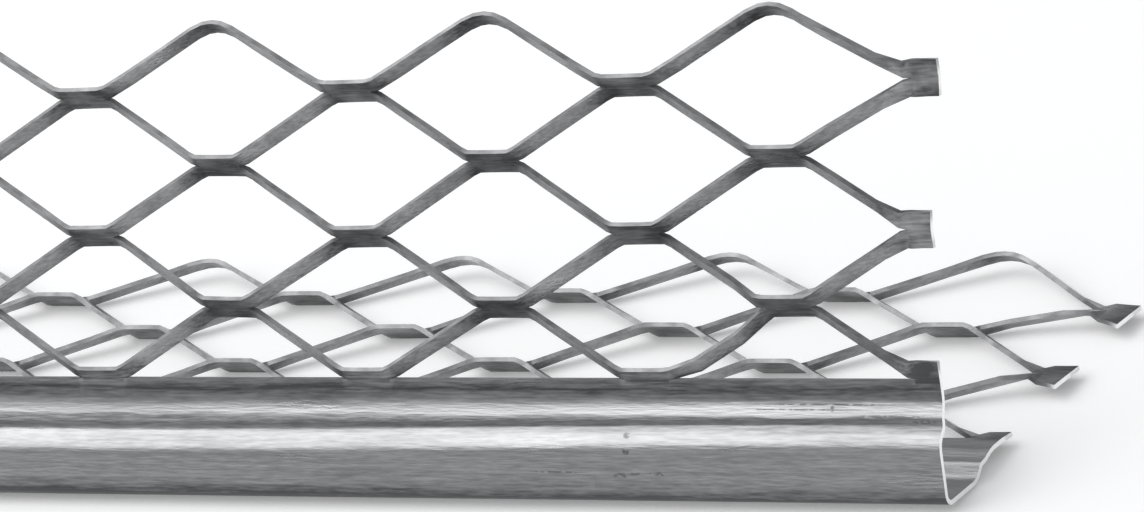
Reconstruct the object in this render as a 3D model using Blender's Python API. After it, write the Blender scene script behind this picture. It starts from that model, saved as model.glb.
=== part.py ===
"""Angle bead for plaster corners: one strip of galvanised sheet, slit, stretched and roll formed.

The solid strip in the middle is folded into the nose. Both wings are diamond mesh: rows of knots,
half a pitch out of step from one row to the next, joined by flat strands. The bead lies along X
on one wing, and the other wing leans over it at the angle between them.
"""

from math import cos, pi, radians, sin, tan

import bmesh
import bpy
from mathutils import Vector

# Sheet and stock
SHEET = 0.00045
STOCK_LENGTH = 1.2
WING_ANGLE = radians(67)

# Mesh of each wing
PITCH = 0.0316
ROW_SPACING = 0.0069
KNOT_ROWS = 4
KNOT_LENGTH = 0.0046
KNOT_SHOULDER = 0.0005
KNOT_TILT = radians(50)
STRAND_WIDTH = 0.0015
CREST_LENGTH = 0.0024
CREST_RISE = 0.0004

# Cut ends, where the knots are sheared through and pressed nearly flat
CUT_TILT = radians(14)
CUT_FLARE = 0.0001

# Solid strip: distance out from the corner of the two wing planes, and height over the wing plane
STRIP_LEG = 0.0115
LAND_EDGE = (0.0057, 0.0009)
LAND_TILT = radians(8)
STEP_FOOT = (0.0071, -0.0001)
RIB_START = (0.0078, 0)
RIB_END = (0.0094, -0.0003)
NOSE_RADIUS = 0.0008
NOSE_STEPS = 5
FOLD_RADIUS = 0.0008
FOLD_STEPS = 2
FOLD_SHARE = 0.45

MERGE_DISTANCE = 0.00001

# Finish
ZINC_COLOUR = (0.50, 0.51, 0.52, 1.0)
ZINC_ROUGHNESS = 0.36

HALF_ANGLE = WING_ANGLE / 2
PITCH_COUNT = round(STOCK_LENGTH / PITCH)
HALF_LENGTH = PITCH_COUNT * PITCH / 2
HALF_KNOT = KNOT_LENGTH / 2


def on_wing(x, along, out):
    """Point of the first wing: along it from the corner, and out over its outer face."""
    across = -along * sin(HALF_ANGLE) - out * cos(HALF_ANGLE)
    depth = along * cos(HALF_ANGLE) - out * sin(HALF_ANGLE)
    return Vector((x, across, depth))


def row_along(row):
    return STRIP_LEG + row * ROW_SPACING


def nose_arc():
    """Half of the rounded nose, from the fold's middle to where the flat land begins."""
    edge_along, edge_out = LAND_EDGE
    slope = tan(HALF_ANGLE)
    land_width = (edge_out + edge_along * slope) / (sin(LAND_TILT) + cos(LAND_TILT) * slope)
    corner = on_wing(0, edge_along - land_width * cos(LAND_TILT), edge_out - land_width * sin(LAND_TILT))
    half_opening = HALF_ANGLE + LAND_TILT
    centre_depth = corner.z + NOSE_RADIUS / sin(half_opening)
    points = []
    for step in range(NOSE_STEPS + 1):
        turn = (pi / 2 - half_opening) * step / NOSE_STEPS
        points.append(Vector((0, -NOSE_RADIUS * sin(turn), centre_depth - NOSE_RADIUS * cos(turn))))
    return points


def rounded_fold(before, fold, after):
    """Arc of the fold radius in the corner between two flats of the strip."""
    inward = (before - fold).normalized()
    onward = (after - fold).normalized()
    half_opening = inward.angle(onward) / 2
    room = min((before - fold).length, (after - fold).length) * FOLD_SHARE
    setback = min(FOLD_RADIUS / tan(half_opening), room)
    radius = setback * tan(half_opening)
    centre = fold + (inward + onward).normalized() * (radius / sin(half_opening))
    start = (fold + inward * setback - centre).normalized()
    end = (fold + onward * setback - centre).normalized()
    arc = [start.slerp(end, step / FOLD_STEPS) * radius for step in range(FOLD_STEPS + 1)]
    return [centre + offset for offset in arc]


def strip_profile():
    """Mid-line of one half of the strip's section, from the nose to the last fold."""
    folds = [on_wing(0, *place) for place in (LAND_EDGE, STEP_FOOT, RIB_START, RIB_END)]
    strip_edge = on_wing(0, STRIP_LEG, 0)
    points = nose_arc()
    flats = [points[-1]] + folds + [strip_edge]
    for before, fold, after in zip(flats, flats[1:], flats[2:]):
        points += rounded_fold(before, fold, after)
    return points


def knot_points(x, row, half_length, upper, lower):
    """Corners of one knot: notches left and right, and the edges over and under them."""
    along = row_along(row)
    rise = STRAND_WIDTH * cos(KNOT_TILT)
    lean = STRAND_WIDTH * sin(KNOT_TILT)
    shoulder = half_length - KNOT_SHOULDER
    points = {"left": on_wing(x - half_length, along, 0), "right": on_wing(x + half_length, along, 0)}
    if upper:
        points["upper_left"] = on_wing(x - shoulder, along + rise, lean)
        points["upper_right"] = on_wing(x + shoulder, along + rise, lean)
    if lower:
        points["lower_left"] = on_wing(x - shoulder, along - rise, -lean)
        points["lower_right"] = on_wing(x + shoulder, along - rise, -lean)
    return points


def add_crest(mesh, x, row):
    """Top of an outer strand, which bends over with no row of knots to hold it."""
    points = knot_points(x, row, CREST_LENGTH / 2, upper=False, lower=True)
    rise = CREST_RISE * cos(KNOT_TILT)
    points["top"] = on_wing(x, row_along(row) + rise, CREST_RISE * sin(KNOT_TILT))
    corners = {name: mesh.verts.new(point) for name, point in points.items()}
    around = ("left", "lower_left", "lower_right", "right", "top")
    mesh.faces.new([corners[name] for name in around])
    return corners


def add_knot(mesh, x, row):
    points = knot_points(x, row, HALF_KNOT, upper=True, lower=row > 0)
    corners = {name: mesh.verts.new(point) for name, point in points.items()}
    around = ("left", "lower_left", "lower_right", "right", "upper_right", "upper_left")
    mesh.faces.new([corners[name] for name in around if name in corners])
    return corners


def add_cut_tab(mesh, x, row):
    """Half of a knot at a cut end of the bead."""
    side = "left" if x > 0 else "right"
    points = knot_points(x, row, HALF_KNOT, upper=True, lower=row > 0)
    kept = {name: point for name, point in points.items() if name.endswith(side)}
    corners = {name: mesh.verts.new(point) for name, point in kept.items()}
    reach = STRAND_WIDTH + CUT_FLARE
    along = row_along(row)
    corners["cut_top"] = mesh.verts.new(on_wing(x, along + reach * cos(CUT_TILT), reach * sin(CUT_TILT)))
    if row:
        lowest = on_wing(x, along - reach * cos(CUT_TILT), -reach * sin(CUT_TILT))
    else:
        lowest = on_wing(x, along, 0)
    corners["cut_bottom"] = mesh.verts.new(lowest)
    order = [side, "cut_bottom", "cut_top", "upper_" + side]
    if row:
        order.insert(1, "lower_" + side)
    fan = order[1:]
    for first, second in zip(fan, fan[1:]):
        triangle = [side, first, second] if side == "left" else [side, second, first]
        mesh.faces.new([corners[name] for name in triangle])
    return corners


def add_strands(mesh, lower_row, upper_row, lower_is_even):
    """Strands from each knot to its two neighbours in the next row out."""
    for index, knot in enumerate(lower_row):
        right_index = index if lower_is_even else index + 1
        left_index = right_index - 1
        if right_index < len(upper_row) and "right" in knot:
            above = upper_row[right_index]
            strand = (knot["right"], above["lower_left"], above["left"], knot["upper_right"])
            mesh.faces.new(strand)
        if left_index >= 0 and "left" in knot:
            above = upper_row[left_index]
            strand = (knot["left"], knot["upper_left"], above["right"], above["lower_right"])
            mesh.faces.new(strand)


def add_row(mesh, row):
    """Even rows have their end knots cut through. Odd rows lie half a pitch further on."""
    if row % 2:
        make = add_crest if row > KNOT_ROWS else add_knot
        places = [-HALF_LENGTH + (index + 0.5) * PITCH for index in range(PITCH_COUNT)]
        return [make(mesh, x, row) for x in places]
    inner = [-HALF_LENGTH + index * PITCH for index in range(1, PITCH_COUNT)]
    knots = [add_knot(mesh, x, row) for x in inner]
    return [add_cut_tab(mesh, -HALF_LENGTH, row), *knots, add_cut_tab(mesh, HALF_LENGTH, row)]


def fold_line(mesh, point, places):
    return [mesh.verts.new(point + Vector((x, 0, 0))) for x in places]


def add_strip(mesh, first_row):
    """Long flats of the solid strip, and the last flat, which carries the first row of the mesh."""
    profile = strip_profile()
    ends = (-HALF_LENGTH, HALF_LENGTH)
    lines = [fold_line(mesh, point, ends) for point in profile[:-1]]
    for low, high in zip(lines, lines[1:]):
        mesh.faces.new((low[0], low[1], high[1], high[0]))
    places = [-HALF_LENGTH + index * PITCH for index in range(PITCH_COUNT + 1)]
    last_fold = fold_line(mesh, profile[-1], places)
    mesh.faces.new([*lines[-1], *reversed(last_fold)])
    inner = zip(last_fold[1:-1], first_row[1:-1])
    edges = [(last_fold[0], first_row[0]["cut_bottom"], first_row[0]["right"])]
    edges += [(fold, knot["left"], knot["right"]) for fold, knot in inner]
    edges += [(last_fold[-1], first_row[-1]["left"], first_row[-1]["cut_bottom"])]
    for fold, left, right in edges:
        mesh.faces.new((fold, right, left))
    for (fold, _, right), (next_fold, next_left, _) in zip(edges, edges[1:]):
        mesh.faces.new((fold, next_fold, next_left, right))


def zinc_material():
    material = bpy.data.materials.new("zinc_coated_steel")
    material.use_nodes = True
    shader = material.node_tree.nodes["Principled BSDF"]
    shader.inputs["Base Color"].default_value = ZINC_COLOUR
    shader.inputs["Metallic"].default_value = 1.0
    shader.inputs["Roughness"].default_value = ZINC_ROUGHNESS
    return material


def make_bead():
    """One wing and half of the nose as a surface, mirrored at the nose and given its thickness."""
    shape = bmesh.new()
    rows = [add_row(shape, row) for row in range(KNOT_ROWS + 2)]
    for row, (lower_row, upper_row) in enumerate(zip(rows, rows[1:])):
        add_strands(shape, lower_row, upper_row, lower_is_even=row % 2 == 0)
    add_strip(shape, rows[0])
    mesh = bpy.data.meshes.new("corner_bead")
    shape.to_mesh(mesh)
    shape.free()
    mesh.materials.append(zinc_material())
    bead = bpy.data.objects.new("corner_bead", mesh)
    bpy.context.scene.collection.objects.link(bead)
    mirror = bead.modifiers.new("Other wing", "MIRROR")
    mirror.use_axis = (False, True, False)
    mirror.merge_threshold = MERGE_DISTANCE
    thickness = bead.modifiers.new("Sheet thickness", "SOLIDIFY")
    thickness.thickness = SHEET
    thickness.offset = 0.0
    thickness.use_even_offset = True
    bead.rotation_euler.x = HALF_ANGLE - pi / 2
    return bead


def lay_on_floor(bead):
    """Put the bead's lowest point at height 0 and the middle of its width over the origin."""
    bpy.context.view_layer.update()
    evaluated = bead.evaluated_get(bpy.context.evaluated_depsgraph_get())
    surface = evaluated.to_mesh()
    points = [bead.matrix_world @ vertex.co for vertex in surface.vertices]
    evaluated.to_mesh_clear()
    widths = [point.y for point in points]
    bead.location.y = -(min(widths) + max(widths)) / 2
    bead.location.z = -min(point.z for point in points)


def main():
    for item in list(bpy.data.objects):
        bpy.data.objects.remove(item)
    lay_on_floor(make_bead())


main()
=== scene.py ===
"""Looks of the galvanised corner bead: the sheet is slit, stretched and folded as the real strip is."""

from math import cos, hypot, pi, radians, sin, tan

import bmesh
import bpy
from bpy.props import FloatProperty, FloatVectorProperty, IntProperty, PointerProperty
from mathutils import Matrix, Vector, noise


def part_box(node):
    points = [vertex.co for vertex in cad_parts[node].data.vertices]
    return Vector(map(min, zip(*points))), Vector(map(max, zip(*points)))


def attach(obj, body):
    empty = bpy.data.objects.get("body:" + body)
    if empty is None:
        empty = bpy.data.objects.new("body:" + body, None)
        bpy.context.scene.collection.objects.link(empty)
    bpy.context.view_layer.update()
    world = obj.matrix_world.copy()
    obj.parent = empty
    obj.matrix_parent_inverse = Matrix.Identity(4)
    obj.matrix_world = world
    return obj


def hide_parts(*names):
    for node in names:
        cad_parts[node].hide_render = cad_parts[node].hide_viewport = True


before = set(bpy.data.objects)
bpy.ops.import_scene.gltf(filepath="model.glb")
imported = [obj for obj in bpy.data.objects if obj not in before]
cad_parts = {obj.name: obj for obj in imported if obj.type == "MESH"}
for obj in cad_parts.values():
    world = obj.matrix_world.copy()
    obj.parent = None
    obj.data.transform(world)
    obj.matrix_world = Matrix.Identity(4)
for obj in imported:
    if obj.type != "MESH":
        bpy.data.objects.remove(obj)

bl_info = {
    "name": "Corner Bead",
    "version": (1, 0, 0),
    "blender": (4, 5, 0),
    "location": "View3D > Sidebar > Bead",
    "description": "Makes an expanded-metal corner bead, its zinc finish and a plain stage",
    "category": "Add Mesh",
}

CAD_NODE = "corner_bead"
CAD_LOW, CAD_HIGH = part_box(CAD_NODE)
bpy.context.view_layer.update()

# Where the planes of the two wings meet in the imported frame, across the bead and over the floor
WING_CORNER = (-0.02315, 0.00131)

# Bends at the ends of a strand, as shares of its run: at a knot, and in the outer strand's dips and crests
KNOT_BEND = 0.08
DIP_BEND = 0.14
CREST_BEND = 0.18

# Cross-lines of the sheet: along a strand's run, and inside a knot as a share of half its length
STRAND_STOPS = (0.08, 0.3, 0.7, 0.92, 1.0)
KNOT_STOP = 0.45

# Rolled section: points of each arc, and the share of a flat that a fold may take at either end
FOLD_STEPS = 3
NOSE_STEPS = 5
FOLD_ROOM = 0.48

# Half the distance over which a strand's slope is taken
SLOPE_STEP = 1e-5

MERGE_DISTANCE = 0.00001

# Slack in comparing the rows of the flat grid
ROW_SLACK = 0.01

# Dulling by strain, which also paints shade at the knots: what is lost at mid-strand, and what the shears
# add
MIDDLE_RELIEF = 0.8
PRESSED_DULLING = 0.35

# Shifts left by stretching: how fine they are, and the seed and part of the noise they come from
UNEVEN_SCALE = 34
UNEVEN_SEED = 5
UNEVEN_PLACE = (3.1, 7.7, 1.3)

# Cut end in the photo: how far in its bend and its wider knots reach
SKEW_REACH = 0.012
SPREAD_REACH = 0.006

# Distance from the corner of the wings beyond which the leaning wing is bent there
SKEW_START = 0.0253

# Where the leaning wing's strand that hangs toward the strip starts and ends along the bead
SAGGING_STRAND = (0.5711, 0.5823)

# It hangs less where it is nearer to the strip than this
SAG_CLEARANCE = 0.001

# Sockets of the colour mix, which share their names with those for numbers
COLOUR_SOCKETS = {"A": 6, "B": 7}
COLOUR_RESULT = 2

# Noise in the middle of its range, which is where nearly all of it lies
NOISE_SPAN = (0.3, 0.7)

# Dullness of the zinc runs from 0 for bright to 1 for dull, and takes painted shade too. The rib's painted
# highlight is brighter by this
RIB_PAINTED_HIGHLIGHT = 0.25

# Darkness of the strip beside its knots, painted shade there as at the knots, and the most that any place's
# tone has
KNOT_SIDE_TONE = 0.95
MOST_DULL = 1.08

# Inner side: the least that its tone may be, and the share of the strain dulling and painted knot shade that
# shows there
INNER_LEAST = 0.18
INNER_SHARE = 0.7

# How far the edges of the strip's painted highlight and painted shade bands wander to each side
BAND_WANDER = 0.0003

# Height at which the dark marks and their painted shade set in, so that the lying side has none
MARKED_HEIGHT = (0.0010, 0.0014)

# Where the camera looks, and the lamps: place from there, and size
VIEW_TARGET = (0.56119, -0.01412, 0.02256)
HIGH_PANEL = ((-0.92, -0.33, 1.14), (2.4, 1.4))
FRONT_PANEL = ((0.9, -1.3, 0.9), (1.2, 0.8))
FLOOR_RADIUS = 6.0


def length(name, default, description):
    return FloatProperty(name=name, description=description, default=default, unit="LENGTH", precision=5)


def angle(name, degrees, description):
    return FloatProperty(name=name, description=description, default=radians(degrees), subtype="ANGLE")


def share(name, default, description):
    return FloatProperty(name=name, description=description, default=default, min=0.0, max=1.0)


def colour(name, default, description):
    return FloatVectorProperty(
        name=name, description=description, default=default, size=3, min=0.0, max=1.0, subtype="COLOR"
    )


class BeadMeshSizes(bpy.types.PropertyGroup):
    pitch: length("Pitch", 0.0316, "Distance between knots along a row")
    row_spacing: length("Row spacing", 0.0069, "Distance from one row of knots to the next")
    knot_rows: IntProperty(name="Knot rows", description="Rows of whole knots in each wing", default=4)
    knot_length: length("Knot length", 0.0046, "Uncut sheet between the ends of two slits")
    thinning: share("Thinning", 0.06, "Share of its width that a strand has lost at its middle")
    knot_pull: length("Knot pull", 0.0003, "How far past a slit's end the sheet bends over a knot")
    strand_width: length("Strand width", 0.0015, "Sheet between two lines of slits")
    knot_tilt: angle("Knot tilt", 50, "How far the knots turn out of the wing's plane")
    strand_untwist: angle("Strand untwist", 4, "How much flatter a strand lies at its middle")
    crest_rise: length("Crest rise", 0.0002, "How much higher an outer strand climbs than the others")
    cut_tilt: angle("Cut tilt", 10, "Tilt that the shears leave in a knot they cut through")
    cut_grip: length("Cut grip", 0.0022, "Length at a cut end that the shears have pressed")
    cut_reach: length("Cut reach", 0.0018, "Length beyond it over which the mesh springs back")
    cut_flare: length("Cut flare", 0.00024, "How much wider the shears leave a strand")
    cut_skew: length("Cut skew", 0.0018, "How much further the leaning wing's outermost cut knot reaches")
    lying_skew: length("Lying skew", 0.0025, "How much further the lying wing's outermost cut knot reaches")
    lying_sag: length("Lying sag", 0.0046, "How far the lying wing's outermost cut knot is bent back")
    lying_spread: share("Lying spread", 0.5, "How much wider the lying wing's cut knots are")
    strand_sag: length("Strand sag", 0.001, "How far one strand near the cut end hangs toward the strip")
    unevenness: length("Unevenness", 0.00035, "How far stretching leaves a knot from its place")


class BeadSectionSizes(bpy.types.PropertyGroup):
    sheet: length("Sheet", 0.00045, "Thickness of the sheet")
    wing_angle: angle("Wing angle", 67, "Angle between the two wings")
    strip_leg: length("Strip leg", 0.0115, "From the corner of the wings to the first slits")
    land_edge: length("Land edge", 0.0057, "From the corner to the outer edge of the nose's flat")
    land_height: length("Land height", 0.0009, "How far the nose's flat stands over the wing")
    land_tilt: angle("Land tilt", 8, "Slope of the nose's flat against the wing")
    step_foot: length("Step foot", 0.0071, "From the corner to the foot of the step")
    step_depth: length("Step depth", 0.0001, "How deep the foot of the step lies")
    rib_start: length("Rib start", 0.0078, "From the corner to the start of the rib")
    rib_end: length("Rib end", 0.0094, "From the corner to the end of the rib")
    rib_end_depth: length("Rib end depth", 0.0003, "How deep the end of the rib lies")
    nose_radius: length("Nose radius", 0.0008, "Radius of the nose at mid-sheet")
    fold_radius: length("Fold radius", 0.004, "Radius of the rolled folds, where there is room")
    fold_drift: length("Fold drift", 0.00045, "How far the rolled folds wander to each side")
    drift_length: length("Drift length", 0.2, "Length of bead over which they wander and come back")


class BeadFinish(bpy.types.PropertyGroup):
    # Zinc is the bright end of the tone, and the rib's painted highlight runs past it. Dull zinc is the dark
    # end, which also holds the painted shade
    zinc: colour("Zinc", (0.43, 0.435, 0.44), "Colour of the zinc where the rolls have burnished it")
    dull_and_shaded_zinc: colour("Dull zinc", (0.11, 0.112, 0.115), "Colour of creased or strained zinc")
    sheared: colour("Sheared edge", (0.30, 0.30, 0.305), "Colour of the slit edges")
    # Bare steel at the cut ends, whitened to a painted highlight
    fresh_cut_glint: colour("Fresh cut", (0.95, 0.95, 0.95), "Colour of the edges at the cut ends")
    roughness: share("Roughness", 0.30, "Roughness of the rolled surface")
    streaks: share("Streaks", 0.3, "Strength of the rolling streaks")
    grain: share("Grain", 0.16, "Strength of the fine grain")
    ripple: length("Ripple", 0.00006, "Height of the ripples that the rolls leave")
    # Also the strength of the painted shade among those marks
    scuff_and_shade_strength: share("Scuffs", 0.8, "Strength of the handling marks")


class BeadStage(bpy.types.PropertyGroup):
    floor: colour("Floor", (0.88, 0.88, 0.88), "Colour of the floor")
    floor_glow: share("Floor glow", 0.2, "White that the camera and the metal see added to the floor")
    sky: colour("Sky", (0.75, 0.76, 0.78), "Colour of the light from all round")
    sky_strength: FloatProperty(name="Sky strength", description="Level of that light", default=0.55)
    key_power: FloatProperty(name="Key", description="Power of the high panel", default=22.0, unit="POWER")
    fill_power: FloatProperty(name="Fill", description="Power of the front panel", default=2.5, unit="POWER")
    azimuth: angle("Azimuth", 36.44, "Camera's turn from the front of the leaning wing")
    elevation: angle("Elevation", 24.02, "Camera's height over the floor as an angle")
    roll: angle("Roll", -17.19, "Turn of the picture about the line of sight")
    distance: length("Distance", 0.6875, "From the camera to the point it looks at")
    focal: FloatProperty(name="Focal length", description="In widths of the photo", default=6.388)


# Dark marks on the leaning side, and painted shade in the crease and over the rib's highlight near the cut
# end: place along the bead and across the strip, and half of each size
SCUFFS_AND_SHADE = (
    ((0.5654, 0.0024), (0.0011, 0.0004)),
    ((0.5670, 0.0026), (0.0010, 0.0002)),
    ((0.5696, 0.0026), (0.0014, 0.0003)),
    ((0.5664, 0.0047), (0.0005, 0.0004)),
    ((0.5664, 0.0061), (0.0005, 0.0004)),
    ((0.5583, 0.0027), (0.0044, 0.00011)),
    ((0.5626, 0.0018), (0.00012, 0.0010)),
    ((0.5270, 0.0074), (0.0006, 0.0003)),
    ((0.5887, 0.0088), (0.00025, 0.0005)),
    ((0.5945, 0.0079), (0.0055, 0.0003)),
    ((0.5985, 0.0076), (0.0020, 0.0004)),
    ((0.5880, 0.0091), (0.0090, 0.00012)),
    ((0.5850, 0.0086), (0.0080, 0.0001)),
)


def rise_share(t, start_bend, end_bend):
    """Share of a strand's climb at share t of its run, with a bend at each end."""
    slope = 1 / (1 - (start_bend + end_bend) / 2)
    if t < start_bend:
        return slope * t * t / (2 * start_bend)
    if t > 1 - end_bend:
        return 1 - slope * (1 - t) ** 2 / (2 * end_bend)
    return slope * (t - start_bend / 2)


class Stretched:
    """Where the flat, slit sheet of a wing goes when it is stretched."""

    def __init__(self, sizes, section, pitches):
        self.sizes = sizes
        self.strip_leg = section.strip_leg
        self.half_length = pitches * sizes.pitch / 2
        self.half_knot = sizes.knot_length / 2
        self.run = sizes.pitch / 2 - sizes.knot_length

    def row_shift(self, row):
        """Even rows have a knot at each cut end. Odd rows lie half a pitch further on."""
        return self.sizes.pitch / 2 if row % 2 else 0.0

    def from_knot(self, x, row):
        """Signed distance from x to the nearest knot of a row."""
        pitch = self.sizes.pitch
        offset = x + self.half_length - self.row_shift(row)
        return offset - round(offset / pitch) * pitch

    def is_slit(self, x, row):
        return abs(self.from_knot(x, row)) > self.half_knot

    def tilt(self, x, climb):
        """Tilt of the sheet: flatter at mid-strand, and pressed nearly flat at a cut end."""
        sizes = self.sizes
        free = sizes.knot_tilt - sizes.strand_untwist * sin(pi * climb) ** 2
        return sizes.cut_tilt + (free - sizes.cut_tilt) * (1 - self.pressed(x))

    def pressed(self, x):
        """1 where the shears gripped the mesh, down to 0 where it is as it was."""
        beyond = (self.half_length - abs(x) - self.sizes.cut_grip) / self.sizes.cut_reach
        t = min(1.0, max(0.0, beyond))
        return 1 - t * t * (3 - 2 * t)

    def width(self, x, climb):
        sizes = self.sizes
        free = sizes.strand_width * (1 - sizes.thinning * sin(pi * climb) ** 2)
        return free + sizes.cut_flare * self.pressed(x)

    def centre(self, x, band, across=0.5):
        """Mid-line of a band between two slit lines: along the wing, out of it, tilt and width.

        The upper edge starts to climb before the slit's end, and the lower edge climbs on past it.
        """
        sizes = self.sizes
        distance = abs(self.from_knot(x, band))
        is_outer = band == sizes.knot_rows
        start = self.half_knot - sizes.knot_pull * across
        end = self.half_knot + self.run + sizes.knot_pull * (1 - across)
        if is_outer:
            end = sizes.pitch / 2
        t = min(1.0, max(0.0, (distance - start) / (end - start)))
        climb = rise_share(t, DIP_BEND, CREST_BEND) if is_outer else rise_share(t, KNOT_BEND, KNOT_BEND)
        tilt = self.tilt(x, climb)
        half = self.width(x, climb) / 2
        along = band * sizes.row_spacing + half * cos(tilt)
        along += climb * (sizes.row_spacing - 2 * half * cos(tilt))
        out = half * sin(tilt) * (1 - 2 * climb)
        if is_outer:
            along += sizes.crest_rise * climb
        return along, out, tilt, 2 * half

    def strain_and_knot_shade(self, x, band):
        """How much stretching has dulled the zinc, with painted shade at the knots: most at the knots, least
        at mid-strand.
        """
        distance = abs(self.from_knot(x, band))
        t = min(1.0, max(0.0, (distance - self.half_knot) / self.run))
        return 1 - MIDDLE_RELIEF * sin(pi * t) ** 2 + PRESSED_DULLING * self.pressed(x)

    def place(self, x, band, across):
        """Point of a band, with across from 0 at its lower slit line to 1 at its upper one."""
        along, out, tilt, breadth = self.centre(x, band, across)
        before = self.centre(x - SLOPE_STEP, band)
        after = self.centre(x + SLOPE_STEP, band)
        tangent = Vector((2 * SLOPE_STEP, after[0] - before[0], after[1] - before[1])).normalized()
        width = Vector((0, cos(tilt), sin(tilt)))
        width = (width - width.dot(tangent) * tangent).normalized()
        point = Vector((x, self.strip_leg + along, out))
        return point + width * (across - 0.5) * breadth


def section_corners(section):
    """Folds of the strip, each as distance along the wing and height out of it."""
    return [
        Vector((section.land_edge, section.land_height)),
        Vector((section.step_foot, -section.step_depth)),
        Vector((section.rib_start, 0)),
        Vector((section.rib_end, -section.rib_end_depth)),
        Vector((section.strip_leg, 0)),
    ]


def nose_points(section):
    """Half of the nose's arc from the fold's middle, in the wing's own directions."""
    half = section.wing_angle / 2
    edge = Vector((section.land_edge, section.land_height))
    slope = tan(half)
    width = (edge.y + edge.x * slope) / (sin(section.land_tilt) + cos(section.land_tilt) * slope)
    corner = edge - Vector((cos(section.land_tilt), sin(section.land_tilt))) * width
    opening = half + section.land_tilt
    inward = Vector((cos(half), -sin(half)))
    centre = corner + inward * (section.nose_radius / sin(opening))
    sideways = Vector((sin(half), cos(half)))
    points = []
    for step in range(NOSE_STEPS + 1):
        turn = (pi / 2 - opening) * step / NOSE_STEPS
        points.append(centre + section.nose_radius * (sideways * sin(turn) - inward * cos(turn)))
    return points


def rounded_fold(before, fold, after, radius):
    """Points of a rolled fold's arc, from one flat to the next."""
    inward = (before - fold).normalized()
    onward = (after - fold).normalized()
    half_opening = inward.angle(onward) / 2
    room = min((before - fold).length, (after - fold).length) * FOLD_ROOM
    setback = min(radius / tan(half_opening), room)
    fitted = setback * tan(half_opening)
    centre = fold + (inward + onward).normalized() * (fitted / sin(half_opening))
    start = (fold + inward * setback - centre) / fitted
    end = (fold + onward * setback - centre) / fitted
    points = []
    for step in range(FOLD_STEPS + 1):
        direction = (start * (FOLD_STEPS - step) + end * step).normalized()
        points.append(centre + direction * fitted)
    return points


def strip_section(section):
    """Mid-line of half the strip, from the nose to the first slits."""
    points = nose_points(section)
    flats = [points[-1], *section_corners(section)]
    for before, fold, after in zip(flats, flats[1:], flats[2:]):
        points += rounded_fold(before, fold, after, section.fold_radius)
    return points + [flats[-1]]


def column_places(sizes, pitches):
    """Cross-lines of the flat sheet: at the knots' middles and ends, and along the strands."""
    half_pitch = sizes.pitch / 2
    half_knot = sizes.knot_length / 2
    run = half_pitch - sizes.knot_length
    near = half_knot * KNOT_STOP
    stops = [0.0, near, half_knot] + [half_knot + run * stop for stop in STRAND_STOPS]
    stops.append(half_pitch - near)
    start = -pitches * half_pitch
    places = [start + index * half_pitch + stop for index in range(2 * pitches) for stop in stops]
    return places + [-start]


def slit_blank(stretched, places, strip_rows):
    """Flat grid of half the sheet, cut along its slits, with each vertex's column and row kept."""
    blank = bmesh.new()
    bands = stretched.sizes.knot_rows + 1
    columns = len(places) - 1
    rows = strip_rows + bands
    bmesh.ops.create_grid(blank, x_segments=columns, y_segments=rows, size=1)
    column_layer = blank.verts.layers.int.new("column")
    row_layer = blank.verts.layers.int.new("row")
    for vertex in blank.verts:
        vertex[column_layer] = round((vertex.co.x + 1) / 2 * columns)
        vertex[row_layer] = round((vertex.co.y + 1) / 2 * rows)
    slits = []
    for edge in blank.edges:
        first, second = edge.verts
        line = first[row_layer] - strip_rows
        if first[row_layer] != second[row_layer] or not 0 <= line < bands:
            continue
        middle = (places[first[column_layer]] + places[second[column_layer]]) / 2
        if stretched.is_slit(middle, line):
            slits.append(edge)
    bmesh.ops.split_edges(blank, edges=slits)
    return blank, column_layer, row_layer


def on_wing(section, point):
    """From along and out of a wing to the mirrored frame, whose mirror plane holds the nose."""
    x, along, out = point
    half = section.wing_angle / 2
    return Vector((x, -along * sin(half) - out * cos(half), along * cos(half) - out * sin(half)))


def fold_drift(section, x, half_length, along):
    """How far the rolls let a fold wander from its place. Nose and slits keep theirs."""
    turn = 2 * pi * (half_length - x) / section.drift_length
    middle = sin(pi * min(1.0, along / section.strip_leg))
    return -section.fold_drift * (1 - cos(turn)) * max(0.0, middle)


def faces_lie_outward(vertex, row_layer):
    """Whether a vertex's faces lie further out than it does, or evenly about it."""
    rows = [sum(v[row_layer] for v in face.verts) / len(face.verts) for face in vertex.link_faces]
    return sum(rows) / len(rows) > vertex[row_layer] - ROW_SLACK


def form_half(blank, column_layer, row_layer, stretched, section, places, profile):
    """Move every vertex of the flat half to its place in the folded strip or the stretched wing."""
    strip_rows = len(profile) - 1
    along_layer = blank.verts.layers.float.new("along_wing")
    strain_and_shade_layer = blank.verts.layers.float.new("strain_and_knot_shade")
    cut_layer = blank.verts.layers.float.new("fresh_cut_glint")
    cut_columns = (0, len(places) - 1)
    for vertex in blank.verts:
        x = places[vertex[column_layer]]
        row = vertex[row_layer]
        is_lower_edge = faces_lie_outward(vertex, row_layer)
        line = row - strip_rows
        if line < 0 or (line == 0 and not is_lower_edge):
            point = Vector((x, *profile[row]))
            point.y += fold_drift(section, x, stretched.half_length, point.y)
        elif is_lower_edge and line <= stretched.sizes.knot_rows:
            point = stretched.place(x, line, 0.0)
            vertex[strain_and_shade_layer] = stretched.strain_and_knot_shade(x, line)
        else:
            point = stretched.place(x, line - 1, 1.0)
            vertex[strain_and_shade_layer] = stretched.strain_and_knot_shade(x, line - 1)
        vertex[along_layer] = point.y
        vertex[cut_layer] = float(vertex[column_layer] in cut_columns)
        vertex.co = on_wing(section, point)


def strand_sag(stretched, x, from_corner):
    """How far the one strand that handling has bent hangs from its straight run."""
    start, end = SAGGING_STRAND
    run_share = (x - start) / (end - start)
    straight = stretched.strip_leg + stretched.sizes.row_spacing * run_share
    if not 0 < run_share < 1 or abs(from_corner - straight) > 2 * stretched.sizes.strand_width:
        return 0.0
    over_strip = min(1.0, max(0.0, (from_corner - stretched.strip_leg) / SAG_CLEARANCE))
    return stretched.sizes.strand_sag * sin(pi * run_share) * over_strip


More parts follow.
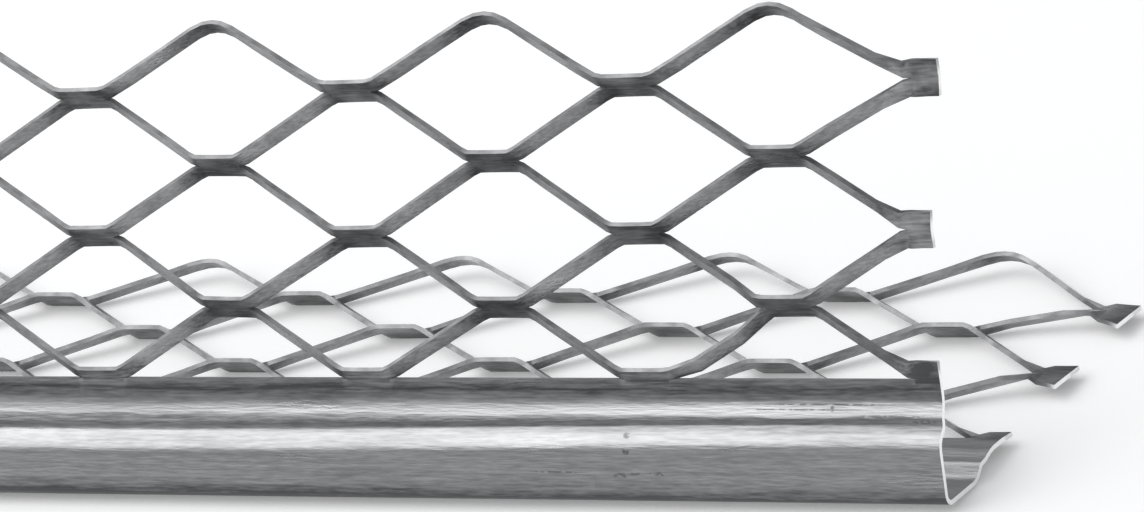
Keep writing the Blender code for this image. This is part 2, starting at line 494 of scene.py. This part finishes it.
def bend_at_cut(stretched, is_leaning, from_corner, x):
    """How far handling has bent the photo's cut end: along the bead, and out along the wing."""
    sizes = stretched.sizes
    from_cut = stretched.half_length - x
    near_cut = 1 - min(1.0, from_cut / SKEW_REACH)
    if is_leaning:
        outermost = min(1.0, max(0.0, (from_corner - SKEW_START) / (sizes.row_spacing * 2)))
        return sizes.cut_skew * outermost * near_cut, 0.0
    rows_out = max(0.0, (from_corner - stretched.strip_leg) / sizes.row_spacing)
    from_row = (rows_out - 2 * round(rows_out / 2)) * sizes.row_spacing
    at_edge = max(0.0, 1 - from_cut / SPREAD_REACH) ** 2
    back = sizes.lying_sag * near_cut * rows_out / sizes.knot_rows
    spread = from_row * sizes.lying_spread * at_edge * min(1.0, rows_out)
    return sizes.lying_skew * near_cut * rows_out / sizes.knot_rows, spread - back


def leave_uneven(sheet, stretched):
    """Small shifts that stretching and handling leave, growing with distance from the strip."""
    amount = stretched.sizes.unevenness
    noise.seed_set(UNEVEN_SEED)
    for vertex in sheet.verts:
        from_corner = hypot(vertex.co.y, vertex.co.z)
        growth = min(1.0, max(0.0, (from_corner - stretched.strip_leg) / stretched.sizes.row_spacing))
        if growth:
            shift = noise.noise_vector(vertex.co * UNEVEN_SCALE + Vector(UNEVEN_PLACE))
            from_end = min(1.0, (stretched.half_length - abs(vertex.co.x)) / SKEW_REACH)
            further, outward = bend_at_cut(stretched, vertex.co.y < 0, from_corner, vertex.co.x)
            reach = Vector((0, vertex.co.y, vertex.co.z)).normalized()
            vertex.co.x += amount * growth * shift.x * from_end + further
            if vertex.co.y < 0:
                outward -= strand_sag(stretched, vertex.co.x, from_corner)
            vertex.co += reach * (amount * growth * shift.y + outward)


def seat_in_frame(sheet, section):
    """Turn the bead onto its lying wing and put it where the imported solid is."""
    turn = Matrix.Rotation(section.wing_angle / 2 - pi / 2, 3, "X")
    bmesh.ops.rotate(sheet, verts=sheet.verts, cent=(0, 0, 0), matrix=turn)
    middle = (CAD_LOW.x + CAD_HIGH.x) / 2
    bmesh.ops.translate(sheet, verts=sheet.verts, vec=(middle, *WING_CORNER))


def mix_colours(nodes, links, factor, first, second):
    """Colour between two others. Each may be a colour or another node's output."""
    mix = nodes.new("ShaderNodeMix")
    mix.data_type = "RGBA"
    mix.clamp_factor = False
    for name, source in (("A", first), ("B", second)):
        if isinstance(source, bpy.types.NodeSocket):
            links.new(source, mix.inputs[COLOUR_SOCKETS[name]])
        else:
            mix.inputs[COLOUR_SOCKETS[name]].default_value = (*source, 1)
    links.new(factor, mix.inputs["Factor"])
    return mix.outputs[COLOUR_RESULT]


def stretched_noise(nodes, links, scale, stretch, detail=4.0):
    """Noise in Object coordinates, drawn out along the bead."""
    place = nodes.new("ShaderNodeTexCoord")
    mapping = nodes.new("ShaderNodeMapping")
    mapping.inputs["Scale"].default_value = (scale / stretch, scale, scale)
    texture = nodes.new("ShaderNodeTexNoise")
    texture.inputs["Scale"].default_value = 1.0
    texture.inputs["Detail"].default_value = detail
    links.new(place.outputs["Object"], mapping.inputs["Vector"])
    links.new(mapping.outputs["Vector"], texture.inputs["Vector"])
    return texture.outputs["Fac"]


def ranged(nodes, links, value, source, target=(0, 1)):
    """A value taken from one range to another, and held inside it."""
    step = nodes.new("ShaderNodeMapRange")
    step.inputs["From Min"].default_value, step.inputs["From Max"].default_value = source
    step.inputs["To Min"].default_value, step.inputs["To Max"].default_value = target
    links.new(value, step.inputs["Value"])
    return step.outputs["Result"]


def calculated(nodes, links, operation, *sources):
    """One step of arithmetic. Each source may be a number or another node's output."""
    step = nodes.new("ShaderNodeMath")
    step.operation = operation
    for socket, source in zip(step.inputs, sources):
        if isinstance(source, bpy.types.NodeSocket):
            links.new(source, socket)
        else:
            socket.default_value = source
    return step.outputs["Value"]


def attribute(nodes, name):
    node = nodes.new("ShaderNodeAttribute")
    node.attribute_name = name
    return node.outputs["Fac"]


def strip_tone(nodes, links, section):
    """Painted light and shade across the strip: painted highlights on the rib and the step, painted shade
    along the nose, in the crease and just below the slits.
    """
    waves = stretched_noise(nodes, links, scale=1500, stretch=14)
    wander = ranged(nodes, links, waves, (0.25, 0.75), (-BAND_WANDER, BAND_WANDER))
    along = calculated(nodes, links, "ADD", attribute(nodes, "along_wing"), wander)
    share_out = calculated(nodes, links, "DIVIDE", along, section.strip_leg)
    # Stations of painted tone: dark along the nose, bright on the step, dark in the crease, brightest on the
    # rib, and a dark line just below the slits
    stations = (
        (0.0, 1.2),
        (0.0012, 0.55),
        (0.0022, 0.36),
        (section.land_edge - 0.0010, 0.24),
        (section.land_edge + 0.0002, 0.16),
        (section.step_foot - 0.0010, 0.18),
        (section.step_foot - 0.0001, 0.66),
        (section.rib_start, 0.60),
        (section.rib_start + 0.0004, -RIB_PAINTED_HIGHLIGHT),
        (section.rib_end - 0.0006, -RIB_PAINTED_HIGHLIGHT),
        (section.rib_end + 0.0002, 0.6),
        (section.strip_leg - 0.0013, 0.75),
        (section.strip_leg - 0.0009, 1.0),
        (section.strip_leg - 0.0005, 0.7),
        (section.strip_leg, 0.6),
    )
    bands = nodes.new("ShaderNodeValToRGB")
    elements = bands.color_ramp.elements
    while len(elements) < len(stations):
        elements.new(0.5)
    for element, (place, painted_tone) in zip(elements, stations):
        element.position = place / section.strip_leg
        level = painted_tone + RIB_PAINTED_HIGHLIGHT
        element.color = (level, level, level, 1)
    links.new(share_out, bands.inputs["Fac"])
    return calculated(nodes, links, "SUBTRACT", bands.outputs["Color"], RIB_PAINTED_HIGHLIGHT)


def scuffs_and_shade_marks(nodes, links):
    """Dark marks on the leaning side of the strip near the cut end: handling marks, and painted shade in the
    crease and over the rib's highlight.
    """
    place = nodes.new("ShaderNodeTexCoord")
    split = nodes.new("ShaderNodeSeparateXYZ")
    links.new(place.outputs["Object"], split.inputs["Vector"])
    along = attribute(nodes, "along_wing")
    most = None
    for (x, across), (half_length, half_width) in SCUFFS_AND_SHADE:
        off_x = calculated(nodes, links, "SUBTRACT", split.outputs["X"], x)
        off_x = calculated(nodes, links, "DIVIDE", off_x, half_length)
        off_across = calculated(nodes, links, "SUBTRACT", along, across)
        off_across = calculated(nodes, links, "DIVIDE", off_across, half_width)
        square_x = calculated(nodes, links, "MULTIPLY", off_x, off_x)
        distance = calculated(nodes, links, "MULTIPLY_ADD", off_across, off_across, square_x)
        spot = ranged(nodes, links, distance, (1.0, 0.3))
        most = spot if most is None else calculated(nodes, links, "MAXIMUM", most, spot)
    flecks = stretched_noise(nodes, links, scale=3200, stretch=2)
    broken = ranged(nodes, links, flecks, (0.40, 0.52), (0.25, 1))
    leaning = ranged(nodes, links, split.outputs["Z"], MARKED_HEIGHT)
    return calculated(nodes, links, "MULTIPLY", calculated(nodes, links, "MULTIPLY", most, broken), leaning)


def zinc_material(finish, section, name):
    """Rolled zinc with streaks along the bead, darkened by strain and by painted shade at the knots. The
    outer side has painted highlights on its ribs, painted shade in its creases, and dark marks.
    """
    material = bpy.data.materials.new(name)
    material.use_nodes = True
    nodes = material.node_tree.nodes
    links = material.node_tree.links
    shader = nodes["Principled BSDF"]
    shader.inputs["Metallic"].default_value = 1.0
    streaks = stretched_noise(nodes, links, scale=2600, stretch=50)
    grain = stretched_noise(nodes, links, scale=4200, stretch=9)
    patches = stretched_noise(nodes, links, scale=320, stretch=6)
    clouds = stretched_noise(nodes, links, scale=330, stretch=1.6)
    # Strain dulling together with painted shade at the knots, lighter at mid-strand
    strain_and_knot_shade = attribute(nodes, "strain_and_knot_shade")
    cloudy = ranged(nodes, links, clouds, NOISE_SPAN, (0.25, 1.1))
    strained_and_shaded = calculated(nodes, links, "MULTIPLY", strain_and_knot_shade, cloudy)
    if name == "outer_zinc":
        leg = section.strip_leg
        in_mesh = ranged(nodes, links, attribute(nodes, "along_wing"), (leg, leg + 0.0003))
        # The strip beside its knots takes the same painted shade as the knots
        beside_knots = calculated(nodes, links, "MULTIPLY_ADD", strain_and_knot_shade, KNOT_SIDE_TONE + RIB_PAINTED_HIGHLIGHT, -RIB_PAINTED_HIGHLIGHT)
        strip = calculated(nodes, links, "MAXIMUM", strip_tone(nodes, links, section), beside_knots)
        tone = mix_colours(nodes, links, in_mesh, strip, strained_and_shaded)
    else:
        tone = calculated(nodes, links, "MULTIPLY", strained_and_shaded, INNER_SHARE)
        tone = calculated(nodes, links, "MAXIMUM", tone, INNER_LEAST)
    streaked = calculated(
        nodes,
        links,
        "MULTIPLY",
        ranged(nodes, links, streaks, (0.35, 0.7)),
        ranged(nodes, links, patches, NOISE_SPAN, (0.2, 1)),
    )
    dullness_and_shade = calculated(nodes, links, "MULTIPLY_ADD", streaked, finish.streaks, tone)
    grained = ranged(nodes, links, grain, NOISE_SPAN, (-finish.grain, finish.grain))
    dullness_and_shade = calculated(nodes, links, "ADD", dullness_and_shade, grained)
    if name == "outer_zinc":
        marks = calculated(nodes, links, "MULTIPLY", scuffs_and_shade_marks(nodes, links), finish.scuff_and_shade_strength)
        dullness_and_shade = calculated(nodes, links, "MAXIMUM", dullness_and_shade, marks)
    # On the outer side the rib's painted highlight may go brighter than the zinc colour
    lowest = -RIB_PAINTED_HIGHLIGHT if name == "outer_zinc" else 0.0
    dullness_and_shade = calculated(nodes, links, "MAXIMUM", dullness_and_shade, lowest)
    dullness_and_shade = calculated(nodes, links, "MINIMUM", dullness_and_shade, MOST_DULL)
    # Tone from bright to dull zinc: dulling and random streaks, with painted highlights and painted shade
    toned = mix_colours(nodes, links, dullness_and_shade, finish.zinc, finish.dull_and_shaded_zinc)
    links.new(toned, shader.inputs["Base Color"])
    rough_span = (finish.roughness - 0.06, finish.roughness + 0.12)
    rough = ranged(nodes, links, patches, NOISE_SPAN, rough_span)
    links.new(rough, shader.inputs["Roughness"])
    ripple = nodes.new("ShaderNodeBump")
    ripple.inputs["Strength"].default_value = 1.0
    ripple.inputs["Distance"].default_value = finish.ripple
    links.new(stretched_noise(nodes, links, scale=260, stretch=5, detail=2.0), ripple.inputs["Height"])
    fine = nodes.new("ShaderNodeBump")
    fine.inputs["Strength"].default_value = 0.5
    fine.inputs["Distance"].default_value = finish.ripple
    links.new(grain, fine.inputs["Height"])
    links.new(ripple.outputs["Normal"], fine.inputs["Normal"])
    links.new(fine.outputs["Normal"], shader.inputs["Normal"])
    return material


def sheared_material(finish):
    """Slit and cut edges, with the marks of the blade, brightest at the cut ends, where the bare steel is
    whitened to a painted highlight.
    """
    material = bpy.data.materials.new("sheared_edge")
    material.use_nodes = True
    nodes = material.node_tree.nodes
    links = material.node_tree.links
    shader = nodes["Principled BSDF"]
    shader.inputs["Metallic"].default_value = 1.0
    shader.inputs["Roughness"].default_value = 0.4
    marks = ranged(nodes, links, stretched_noise(nodes, links, scale=700, stretch=1.5), (0.35, 0.68))
    dull = tuple(channel * 0.55 for channel in finish.sheared)
    slit = mix_colours(nodes, links, marks, finish.sheared, dull)
    cut = attribute(nodes, "fresh_cut_glint")
    links.new(mix_colours(nodes, links, cut, slit, finish.fresh_cut_glint), shader.inputs["Base Color"])
    return material


class OBJECT_OT_make_bead(bpy.types.Operator):
    """Slit, stretch and fold the zinc-coated strip"""

    bl_idname = "object.make_bead"
    bl_label = "Make Bead"

    def execute(self, context):
        sizes = context.scene.bead_mesh
        section = context.scene.bead_section
        pitches = round((CAD_HIGH.x - CAD_LOW.x) / sizes.pitch)
        stretched = Stretched(sizes, section, pitches)
        places = column_places(sizes, pitches)
        profile = strip_section(section)
        sheet, column_layer, row_layer = slit_blank(stretched, places, len(profile) - 1)
        form_half(sheet, column_layer, row_layer, stretched, section, places, profile)
        everything = [*sheet.verts, *sheet.edges, *sheet.faces]
        bmesh.ops.mirror(sheet, geom=everything, axis="Y", merge_dist=MERGE_DISTANCE)
        leave_uneven(sheet, stretched)
        seat_in_frame(sheet, section)
        bmesh.ops.recalc_face_normals(sheet, faces=sheet.faces)
        for edge in sheet.edges:
            edge.smooth = not edge.is_boundary
        for face in sheet.faces:
            face.smooth = True
        mesh = bpy.data.meshes.new("folded_sheet")
        sheet.to_mesh(mesh)
        sheet.free()
        bead = bpy.data.objects.new("folded_sheet", mesh)
        context.scene.collection.objects.link(bead)
        mesh.materials.append(zinc_material(context.scene.bead_finish, section, "outer_zinc"))
        mesh.materials.append(sheared_material(context.scene.bead_finish))
        mesh.materials.append(zinc_material(context.scene.bead_finish, section, "inner_zinc"))
        thickness = bead.modifiers.new("Sheet thickness", "SOLIDIFY")
        thickness.thickness = section.sheet
        thickness.offset = 0.0
        thickness.use_even_offset = True
        thickness.material_offset_rim = 1
        thickness.material_offset = 2
        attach(bead, "root")
        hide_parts(CAD_NODE)
        return {"FINISHED"}


def area_light(name, target, panel, power):
    offset, size = panel
    place = target + Vector(offset)
    light = bpy.data.lights.new(name, "AREA")
    light.shape = "RECTANGLE"
    light.size, light.size_y = size
    light.energy = power
    lamp = bpy.data.objects.new(name, light)
    lamp.location = place
    lamp.rotation_euler = (target - place).to_track_quat("-Z", "Y").to_euler()
    bpy.context.scene.collection.objects.link(lamp)


def look_at_bead(context, stage, target):
    """Camera at the photo's viewing angle, with the photo's roll."""
    camera = bpy.data.cameras.new("photo_view")
    camera.sensor_fit = "HORIZONTAL"
    camera.lens = stage.focal * camera.sensor_width
    camera.clip_start = 0.01
    camera.clip_end = 50
    view = bpy.data.objects.new("photo_view", camera)
    back = Vector(
        (
            sin(stage.azimuth) * cos(stage.elevation),
            -cos(stage.azimuth) * cos(stage.elevation),
            sin(stage.elevation),
        )
    )
    turn = back.to_track_quat("Z", "Y").to_matrix() @ Matrix.Rotation(stage.roll, 3, "Z")
    view.matrix_world = Matrix.Translation(target + back * stage.distance) @ turn.to_4x4()
    context.scene.collection.objects.link(view)
    context.scene.camera = view


def brighten_for_view(tree, shader, glow):
    """Add white to the floor for the camera and for reflections, and keep the shadow on it."""
    nodes, links = tree.nodes, tree.links
    path = nodes.new("ShaderNodeLightPath")
    seen = calculated(nodes, links, "MAXIMUM", path.outputs["Is Camera Ray"], path.outputs["Is Glossy Ray"])
    seen = calculated(nodes, links, "MAXIMUM", seen, path.outputs["Is Transmission Ray"])
    white = nodes.new("ShaderNodeEmission")
    white.inputs["Color"].default_value = (1, 1, 1, 1)
    links.new(calculated(nodes, links, "MULTIPLY", seen, glow), white.inputs["Strength"])
    both = nodes.new("ShaderNodeAddShader")
    links.new(shader.outputs["BSDF"], both.inputs[0])
    links.new(white.outputs["Emission"], both.inputs[1])
    links.new(both.outputs["Shader"], nodes["Material Output"].inputs["Surface"])


class SCENE_OT_set_bead_stage(bpy.types.Operator):
    """Lay the pale floor and place the lights and the camera"""

    bl_idname = "scene.set_bead_stage"
    bl_label = "Set Bead Stage"

    def execute(self, context):
        stage = context.scene.bead_stage
        sheet = bmesh.new()
        bmesh.ops.create_circle(sheet, cap_ends=True, segments=96, radius=FLOOR_RADIUS)
        mesh = bpy.data.meshes.new("floor")
        sheet.to_mesh(mesh)
        sheet.free()
        floor = bpy.data.objects.new("floor", mesh)
        paint = bpy.data.materials.new("floor_paint")
        paint.use_nodes = True
        shader = paint.node_tree.nodes["Principled BSDF"]
        shader.inputs["Base Color"].default_value = (*stage.floor, 1)
        shader.inputs["Roughness"].default_value = 0.9
        shader.inputs["Specular IOR Level"].default_value = 0.1
        brighten_for_view(paint.node_tree, shader, stage.floor_glow)
        mesh.materials.append(paint)
        context.scene.collection.objects.link(floor)
        world = context.scene.world or bpy.data.worlds.new("studio")
        context.scene.world = world
        world.use_nodes = True
        sky = world.node_tree.nodes["Background"]
        sky.inputs["Color"].default_value = (*stage.sky, 1)
        sky.inputs["Strength"].default_value = stage.sky_strength
        target = Vector(VIEW_TARGET)
        area_light("high_panel", target, HIGH_PANEL, stage.key_power)
        area_light("front_panel", target, FRONT_PANEL, stage.fill_power)
        look_at_bead(context, stage, target)
        context.scene.view_settings.view_transform = "Standard"
        return {"FINISHED"}


class VIEW3D_PT_corner_bead(bpy.types.Panel):
    bl_label = "Corner Bead"
    bl_idname = "VIEW3D_PT_corner_bead"
    bl_space_type = "VIEW_3D"
    bl_region_type = "UI"
    bl_category = "Bead"

    def draw(self, context):
        layout = self.layout
        layout.operator(OBJECT_OT_make_bead.bl_idname)
        layout.operator(SCENE_OT_set_bead_stage.bl_idname)


CLASSES = (
    BeadMeshSizes,
    BeadSectionSizes,
    BeadFinish,
    BeadStage,
    OBJECT_OT_make_bead,
    SCENE_OT_set_bead_stage,
    VIEW3D_PT_corner_bead,
)
GROUPS = {
    "bead_mesh": BeadMeshSizes,
    "bead_section": BeadSectionSizes,
    "bead_finish": BeadFinish,
    "bead_stage": BeadStage,
}


def register():
    for item in CLASSES:
        bpy.utils.register_class(item)
    for name, group in GROUPS.items():
        setattr(bpy.types.Scene, name, PointerProperty(type=group))


def unregister():
    for name in GROUPS:
        delattr(bpy.types.Scene, name)
    for item in reversed(CLASSES):
        bpy.utils.unregister_class(item)


def main():
    register()
    bpy.ops.object.make_bead()
    bpy.ops.scene.set_bead_stage()


if __name__ == "__main__":
    main()
